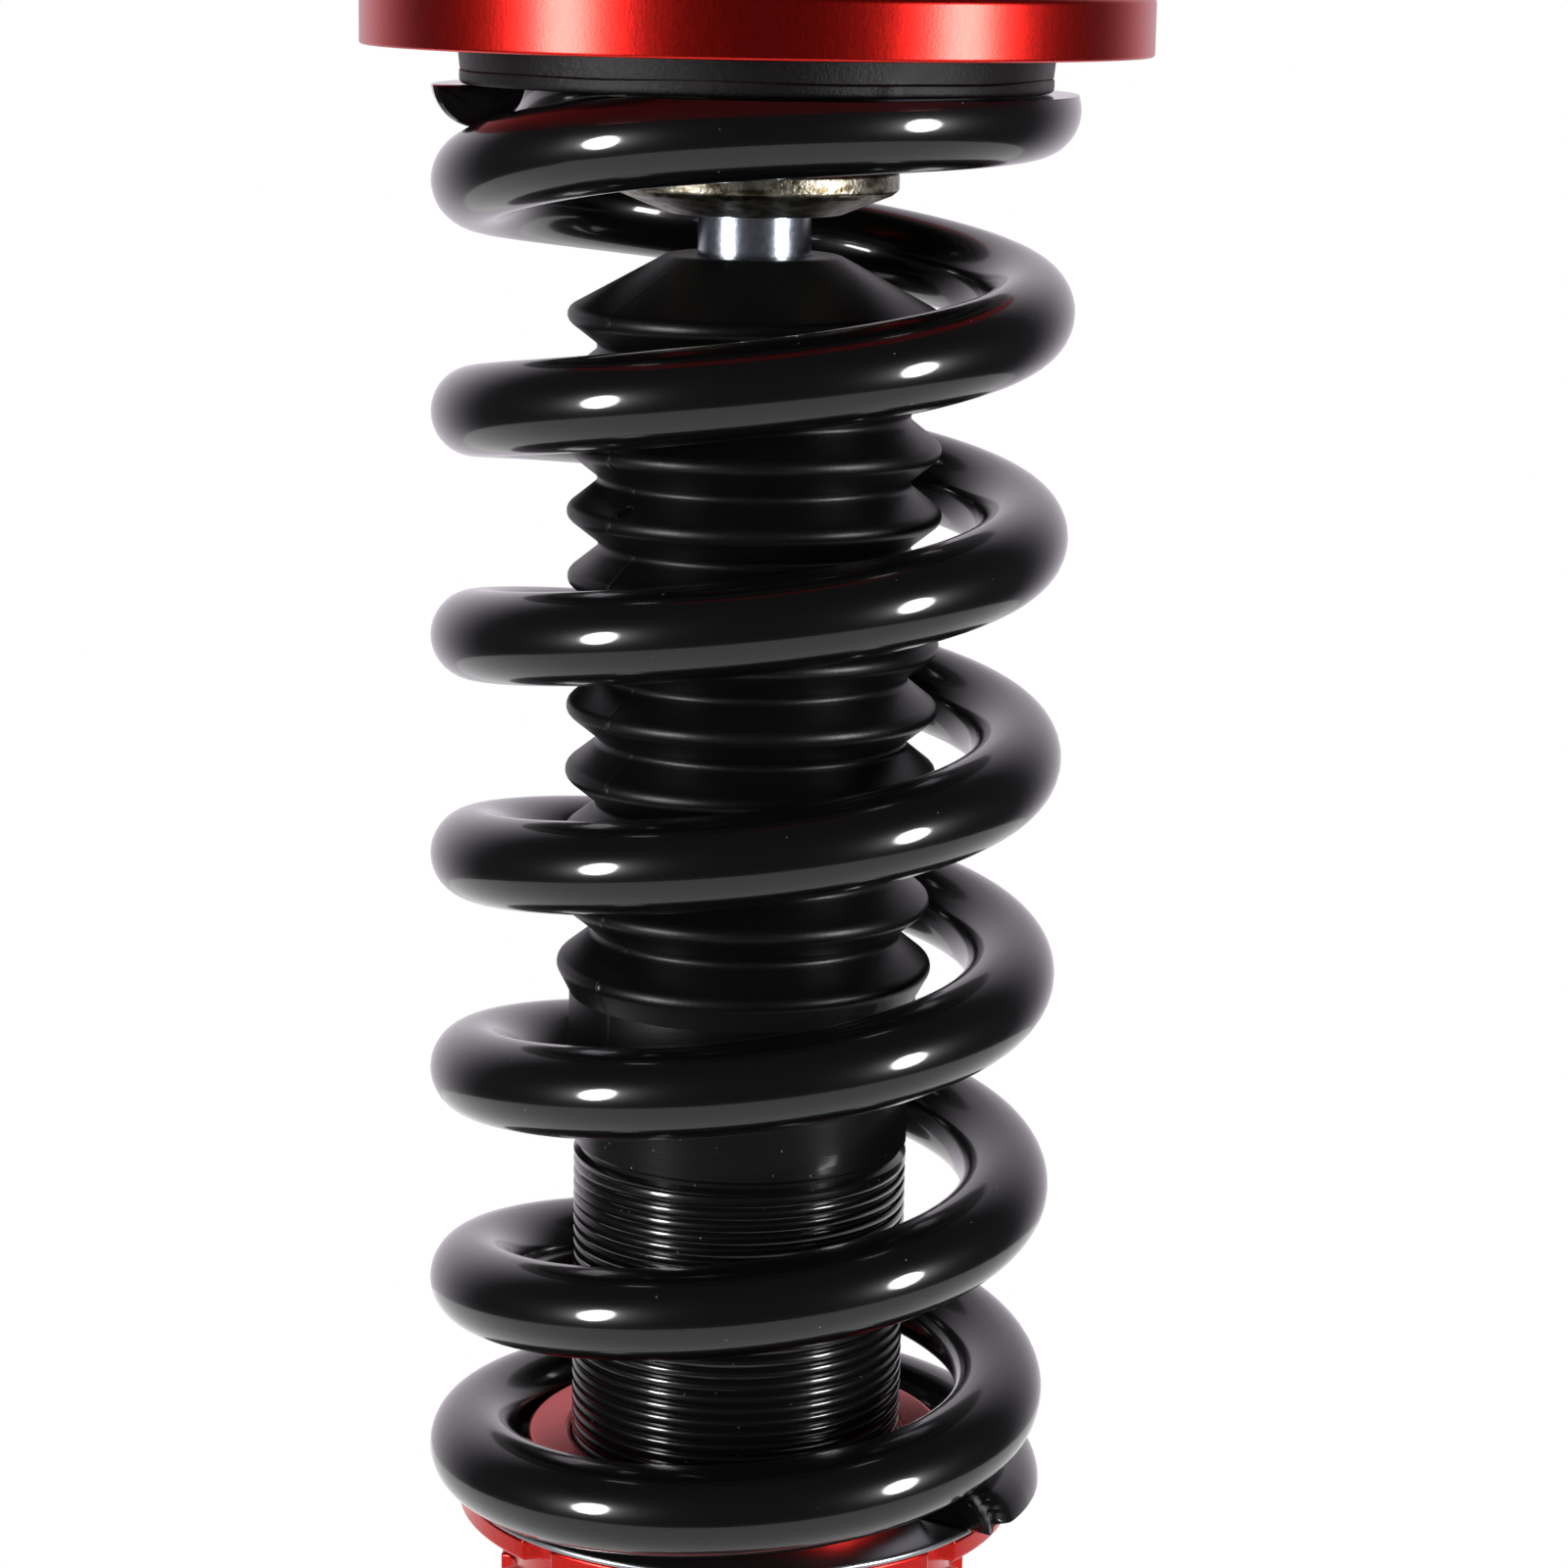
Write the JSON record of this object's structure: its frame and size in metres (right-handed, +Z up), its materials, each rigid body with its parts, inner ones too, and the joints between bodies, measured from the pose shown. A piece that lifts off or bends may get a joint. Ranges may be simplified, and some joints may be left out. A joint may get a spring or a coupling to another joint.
{
  "type": "coilover",
  "caption": "Height-adjustable damper with a coil spring, threaded perch, bellows boot, eye bracket and studded top mount.",
  "frame": {"origin": "centre of the lower eye bore", "axes": "+Z up along the damper towards the top mount, +Y along the lower eye's bolt"},
  "size_m": [0.12, 0.12, 0.539],
  "materials": {
    "black_powder_coat": "gloss black spring paint",
    "black_body_coat": "satin black electro-coat on machined thread",
    "red_anodised": "red anodised, turned and brushed",
    "zinc_plate": "bright zinc plate",
    "zinc_pressing": "zinc plate with a faint yellow cast, pressed",
    "spring_washer_steel": "plain steel, satin",
    "black_rubber": "moulded, satin",
    "boot_rubber": "blow-moulded bellows, matte",
    "polyurethane": "microcellular foam",
    "hard_chrome": "ground and chromed",
    "plain_steel": "machined",
    "plain_aluminium": "machined",
    "bronze_bush": "sintered bronze",
    "bracket_paint": "satin black on cast steel",
    "ptfe_band": "filled PTFE",
    "screw_black": "black oxide"
  },
  "bodies": {
    "bracket": {"bracket_eye": "bracket_paint", "bracket_cup": "bracket_paint", "bush_shell": "zinc_plate", "bush_rubber": "black_rubber"},
    "eye_sleeve": {"bush_sleeve": "zinc_plate"},
    "bracket_ring": {"bracket_lock_ring": "red_anodised"},
    "damper_body": {"threaded_body": "black_body_coat", "base_plug": "plain_steel", "base_plug_oring": "black_rubber", "fill_screw": "screw_black", "rod_guide": "plain_aluminium", "rod_guide_oring": "black_rubber", "guide_bush": "bronze_bush", "rod_seal": "black_rubber", "gland_nut": "plain_steel", "dust_wiper": "black_rubber", "dust_boot": "boot_rubber"},
    "gas_piston": {"floating_piston": "plain_aluminium", "floating_piston_oring": "black_rubber"},
    "rod": {"piston_rod": "hard_chrome", "piston": "plain_steel", "piston_band": "ptfe_band", "compression_shims": "plain_steel", "rebound_shims": "plain_steel", "piston_nut": "plain_steel", "top_out_spacer": "plain_steel", "bump_stop": "polyurethane", "spacer_sleeve": "zinc_plate", "lower_cup_washer": "zinc_pressing", "crush_tube": "zinc_plate", "upper_cup_washer": "zinc_pressing", "rod_nut": "zinc_plate"},
    "adjuster": {"adjuster_knob": "red_anodised", "adjuster_needle": "plain_steel", "knob_grub_screw": "screw_black"},
    "top_mount": {"top_plate": "red_anodised", "mount_studs": "zinc_plate", "lower_bush": "black_rubber", "upper_bush": "black_rubber", "spring_isolator": "black_rubber"},
    "spring_seat": {"coil_spring": "black_powder_coat", "thrust_washer": "spring_washer_steel"},
    "perch": {"spring_perch": "red_anodised", "perch_flange": "red_anodised"},
    "perch_ring": {"perch_lock_ring": "red_anodised"}
  },
  "joints": [
    {"name": "eye_twist", "type": "hinge", "parent": "bracket", "child": "eye_sleeve", "pos_m": [0, 0, 0], "axis": [0, 1, 0], "range_deg": [-15, 15], "stiffness_Nm_per_rad": 60},
    {"name": "bracket_ring_slide", "type": "slide", "parent": "bracket", "child": "bracket_ring", "axis": [0, 0, 1], "range_m": [0, 0.008]},
    {"name": "ride_height", "type": "slide", "parent": "bracket", "child": "damper_body", "axis": [0, 0, 1], "range_m": [-0.025, 0.025]},
    {"name": "damper_stroke", "type": "slide", "parent": "damper_body", "child": "rod", "axis": [0, 0, 1], "range_m": [-0.075, 0], "stiffness_N_per_m": 98100, "springref_m": 0.009, "deforming": ["coil_spring", "dust_boot"]},
    {"name": "gas_piston_slide", "type": "slide", "parent": "damper_body", "child": "gas_piston", "axis": [0, 0, 1], "range_m": [-0.008, 0]},
    {"name": "adjuster_turn", "type": "hinge", "parent": "rod", "child": "adjuster", "pos_m": [0, 0, 0.501], "axis": [0, 0, 1], "range_deg": [0, 270]},
    {"name": "mount_turn", "type": "hinge", "parent": "rod", "child": "top_mount", "pos_m": [0, 0, 0.4585], "axis": [0, 0, 1], "continuous": true},
    {"name": "perch_turn", "type": "hinge", "parent": "spring_seat", "child": "perch", "pos_m": [0, 0, 0.232], "axis": [0, 0, 1], "range_deg": [-5401, 0]},
    {"name": "seat_height", "type": "slide", "parent": "damper_body", "child": "spring_seat", "axis": [0, 0, 1], "range_m": [-0.03, 0]},
    {"name": "perch_ring_slide", "type": "slide", "parent": "perch", "child": "perch_ring", "axis": [0, 0, 1], "range_m": [-0.008, 0]}
  ],
  "couplings": [
    {"joint": "gas_piston_slide", "follows": "damper_stroke", "ratio": 0.10124},
    {"joint": "perch_turn", "follows": "seat_height", "rad_per_m": 3141.6}
  ]
}
